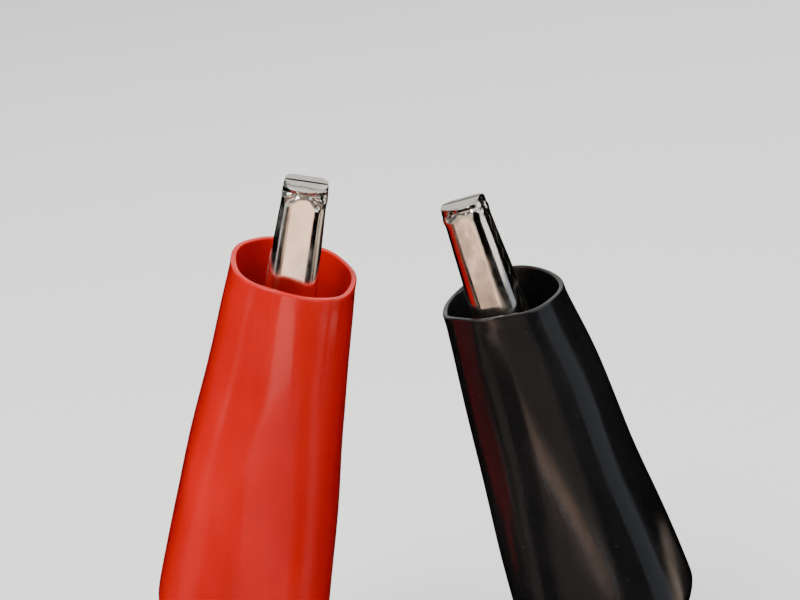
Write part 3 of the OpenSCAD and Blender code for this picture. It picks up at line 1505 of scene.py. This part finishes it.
@dataclass(frozen=True)
class SoftLight:
    """A square soft light, aimed at the pair."""

    name: str
    azimuth_deg: float
    elevation_deg: float
    distance: float
    size: float
    power: float
    colour: Point = (1.0, 1.0, 1.0)

    def make(self, aim: Vector) -> None:
        """Places the light.

        Args:
            aim: the point that it is aimed at.
        """
        data = bpy.data.lights.new(self.name, "AREA")
        data.size = self.size
        data.energy = self.power
        data.color = self.colour
        a, e = math.radians(self.azimuth_deg), math.radians(self.elevation_deg)
        out = Vector((math.sin(a) * math.cos(e), -math.cos(a) * math.cos(e), math.sin(e)))
        light = link(bpy.data.objects.new(self.name, data))
        light.location = aim + out * self.distance
        light.rotation_euler = out.to_track_quat("Z", "Y").to_euler()


class PaintedReflectionTone(Enum):
    """How bright a card glows and its tint, for painted reflections; black paints a dark reflection."""

    BLACK = (0.0, 0.0, 0.0)
    DIM = (0.29, 0.24, 0.22)
    SAND = (0.95, 0.76, 0.61)
    WARM = (2.3, 1.5, 1.12)
    COOL = (0.34, 0.38, 0.45)
    PALE = (0.85, 0.83, 0.8)
    WHITE = (1.5, 1.45, 1.4)


@dataclass(frozen=True)
class PaintedReflectionCard:
    """A flat glowing card of one tone, seen only in gloss and bright metal: a painted reflection, or a
    painted dark reflection where it is black.
    """

    name: str
    tone: PaintedReflectionTone
    corners: tuple[Point, ...]

    @classmethod
    def upright(cls, name: str, tone: PaintedReflectionTone, through: float, outline: Sequence[Flat]) -> "PaintedReflectionCard":
        """A card facing the pair.

        Args:
            name: its name.
            tone: its tone.
            through: where it hangs, through the pair; less than nothing is in front.
            outline: its corners, across and up.

        Returns:
            The card.
        """
        return cls(name, tone, tuple((x, through, z) for x, z in outline))

    @classmethod
    def level(cls, name: str, tone: PaintedReflectionTone, height: float, outline: Sequence[Flat]) -> "PaintedReflectionCard":
        """A card lying level.

        Args:
            name: its name.
            tone: its tone.
            height: its height.
            outline: its corners, across and through.

        Returns:
            The card.
        """
        return cls(name, tone, tuple((x, y, height) for x, y in outline))

    def make(self) -> bpy.types.Object:
        """Hangs the card.

        Returns:
            The card's object.
        """
        mesh = bpy.data.meshes.new(self.name)
        points = [tuple(c * MM for c in corner) for corner in self.corners]
        mesh.from_pydata(points, [], [tuple(range(len(points)))])
        graph = ShaderGraph(self.name + "_tone")
        graph.set(Base_Color=(0.0, 0.0, 0.0, 1.0), Roughness=1.0, Specular_IOR_Level=0.0)
        # Painted reflection: the card glows in its tone and is hidden from the camera, from diffuse light
        # and from shadows.
        graph.set(Emission_Color=(*self.tone.value, 1.0), Emission_Strength=1.0)
        mesh.materials.append(graph.material)
        card = link(bpy.data.objects.new(self.name, mesh))
        card.visible_camera = False
        card.visible_diffuse = False
        card.visible_shadow = False
        card.visible_transmission = False
        return card


def sector(centre: Flat, radii: Flat, azimuths_deg: Flat) -> list[Flat]:
    """The outline of a piece of a ring in front of a point.

    Args:
        centre: the ring's centre, across and through.
        radii: the ring's inner and outer radius.
        azimuths_deg: where the piece starts and ends, from straight ahead.

    Returns:
        The outline's corners.
    """
    steps = 8
    corners = []
    for radius, ends in ((radii[0], azimuths_deg), (radii[1], azimuths_deg[::-1])):
        for i in range(steps + 1):
            a = math.radians(mix(ends[0], ends[1], i / steps))
            corners.append((centre[0] + radius * math.sin(a), centre[1] - radius * math.cos(a)))
    return corners


@dataclass(frozen=True)
class Studio:
    """A pale paper floor, soft lights, an even sky, and glowing and black cards seen only in gloss and
    bright metal, which paint reflections onto the boots and jaws.
    """

    paper: StudioPaper = StudioPaper()
    floor_half: float = 0.6
    sky: Point = (0.55, 0.56, 0.58)
    sky_strength: float = 0.22

    def lights(self) -> list[SoftLight]:
        """The lights: a key, a fill, one from behind and one overhead.

        Returns:
            The lights.
        """
        return [
            SoftLight("key_light", -40, 50, 0.3, 0.16, 1.2, (1.0, 0.98, 0.95)),
            SoftLight("fill_light", 50, 30, 0.35, 0.2, 0.18, (0.92, 0.96, 1.0)),
            SoftLight("rim_light", 150, 40, 0.35, 0.14, 0.7),
            SoftLight("top_light", 10, 82, 0.28, 0.16, 0.8),
        ]

    def upright_cards(self, low: float) -> list[PaintedReflectionCard]:
        """Black flags in front of the pair and glowing walls and panels round it, all seen only in
        reflections: painted dark reflections and painted reflections.

        Args:
            low: the height of the cards' lower edges, in millimetres.

        Returns:
            The cards.
        """
        left_flag = [(1, low), (1, 8), (-0.3, 22), (-0.6, 24), (-14, 24), (-11, 18), (-5, 5), (-5, low)]
        middle_flag = [(8, low), (13.5, low), (13.5, 21), (8, 20.5)]
        right_flag = [(22.5, low), (37, low), (40, 32), (23, 32)]
        jaw_flag = [(12.2, 24.4), (24, 24.8), (24, 33), (11.4, 33)]
        jaw_strip = ((30, -10, 28.3), (30, 11, 28.3), (30, 11, 36), (30, -10, 36))
        far_flag = ((120, 40, low), (50, 125, low), (50, 125, 70), (120, 40, 70))
        side_panel = ((120, -90, low), (120, 40, low), (120, 40, 80), (120, -90, 80))
        back_panel = ((-90, 150, 30), (110, 150, 30), (110, 70, 150), (-90, 70, 150))
        dim_wall = [(-20, low), (130, low), (130, 70), (-20, 70)]
        sand_wall = [(-170, low), (-20, low), (-20, 70), (-170, 70)]
        near, front = -10, -150
        return [
            PaintedReflectionCard.upright("left_flag", PaintedReflectionTone.BLACK, near, left_flag),
            PaintedReflectionCard.upright("middle_flag", PaintedReflectionTone.BLACK, near, middle_flag),
            PaintedReflectionCard.upright("right_flag", PaintedReflectionTone.BLACK, near, right_flag),
            PaintedReflectionCard.upright("jaw_flag", PaintedReflectionTone.BLACK, near, jaw_flag),
            # Painted highlight: a bright white card seen only in the jaws' gloss.
            PaintedReflectionCard("jaw_strip", PaintedReflectionTone.WHITE, jaw_strip),
            PaintedReflectionCard("far_flag", PaintedReflectionTone.BLACK, far_flag),
            PaintedReflectionCard.upright("dim_wall", PaintedReflectionTone.DIM, front, dim_wall),
            PaintedReflectionCard.upright("sand_wall", PaintedReflectionTone.SAND, front, sand_wall),
            PaintedReflectionCard("side_panel", PaintedReflectionTone.COOL, side_panel),
            PaintedReflectionCard("back_panel", PaintedReflectionTone.PALE, back_panel),
        ]

    def level_cards(self, low: float) -> list[PaintedReflectionCard]:
        """Cards just over the floor, rings and patches about the jaws among them, and the roof, all seen
        only in reflections: painted dark reflections and painted warm and pale reflections.

        Args:
            low: the height of the lowest ones, in millimetres.

        Returns:
            The cards.
        """
        jaws, upper = (4.5, -4.0), low + 0.3
        near_floor_reflection_card = [(-160, -66), (160, -66), (160, -8), (-160, -8)]
        back_floor_reflection_card = [(-140, -8), (200, -8), (200, 200), (-140, 200)]
        right_floor_reflection_card = [(58, -50), (115, -50), (115, 45), (58, 45)]
        roof = [(-200, -180), (220, -180), (220, 80), (-200, 80)]
        return [
            PaintedReflectionCard.level("near_floor_reflection_card", PaintedReflectionTone.DIM, low, near_floor_reflection_card),
            PaintedReflectionCard.level("back_floor_reflection_card", PaintedReflectionTone.BLACK, low, back_floor_reflection_card),
            PaintedReflectionCard.level("left_ring", PaintedReflectionTone.BLACK, upper, sector(jaws, (66, 112), (-65, -17))),
            PaintedReflectionCard.level("outer_ring", PaintedReflectionTone.BLACK, upper, sector(jaws, (112, 200), (-65, -30))),
            PaintedReflectionCard.level("far_ring", PaintedReflectionTone.BLACK, upper, sector(jaws, (100, 260), (-125, -76))),
            PaintedReflectionCard.level("right_ring", PaintedReflectionTone.BLACK, upper, sector(jaws, (50, 98), (13, 60))),
            PaintedReflectionCard.level("right_floor_reflection_card", PaintedReflectionTone.SAND, upper, right_floor_reflection_card),
            # Painted warm reflections: glowing cards that light up the jaws' flats only in their gloss.
            PaintedReflectionCard.level("warm_floor_reflection_card", PaintedReflectionTone.WARM, upper, sector(jaws, (68, 145), (-17, 13))),
            PaintedReflectionCard.level("warm_patch", PaintedReflectionTone.WARM, upper, sector(jaws, (112, 160), (-30, -17))),
            PaintedReflectionCard.level("roof_panel", PaintedReflectionTone.PALE, 200, roof),
        ]

    def make(self, low: Vector, high: Vector) -> None:
        """Builds the studio round the pair.

        Args:
            low: the pair's lowest corner.
            high: the pair's highest corner.
        """
        middle = (low + high) / 2
        size = self.floor_half
        corners = [(-size, -size, 0), (size, -size, 0), (size, size, 0), (-size, size, 0)]
        mesh = bpy.data.meshes.new("paper_floor")
        mesh.from_pydata(corners, [], [(0, 1, 2, 3)])
        mesh.materials.append(self.paper.material())
        floor = link(bpy.data.objects.new("paper_floor", mesh))
        floor.location = (middle.x, middle.y, low.z)
        above_floor = low.z / MM + 0.3
        # Reflection-only cards: painted reflections and painted dark reflections on the boots and jaws.
        for card in self.upright_cards(above_floor) + self.level_cards(above_floor):
            card.make()
        for light in self.lights():
            light.make(middle)
        world = bpy.data.worlds.new("studio_sky")
        world.use_nodes = True
        background = world.node_tree.nodes["Background"]
        background.inputs["Color"].default_value = (*self.sky, 1.0)
        background.inputs["Strength"].default_value = self.sky_strength
        bpy.context.scene.world = world


def main() -> None:
    """Builds the camera, the two clips and the studio."""
    logging.basicConfig(level=logging.INFO, format="%(name)s: %(message)s")
    StudioCamera().make()
    finishes = Finishes()
    clips = [
        Clip(
            ClipFrame.from_record(ClipName.RED, frame["record"]),
            Boot(seed=3.7, phase=0.6, raised=0.18, slant=-0.19, pitch=-0.05, fold=-0.05),
            finishes.red,
            finishes,
            seed=0.3,
            near_nose=NosePress(-0.03, (0.1, 0.9), (0.09, 1.2)),
        ),
        Clip(
            ClipFrame.from_record(ClipName.BLACK, frame["record"]),
            Boot(seed=11.2, phase=2.1, raised=-0.33, slant=-0.44, pitch=0.22, fold=-0.17),
            finishes.black,
            finishes,
            seed=-0.9,
            near_nose=NosePress(0.06, (0.12, 0.5), (0.02, 1.2)),
        ),
    ]
    for clip in clips:
        clip.make()
    low, high = (Vector(corner) for corner in CAD_BOUNDS)
    Studio().make(low, high)


if __name__ == "__main__":
    main()
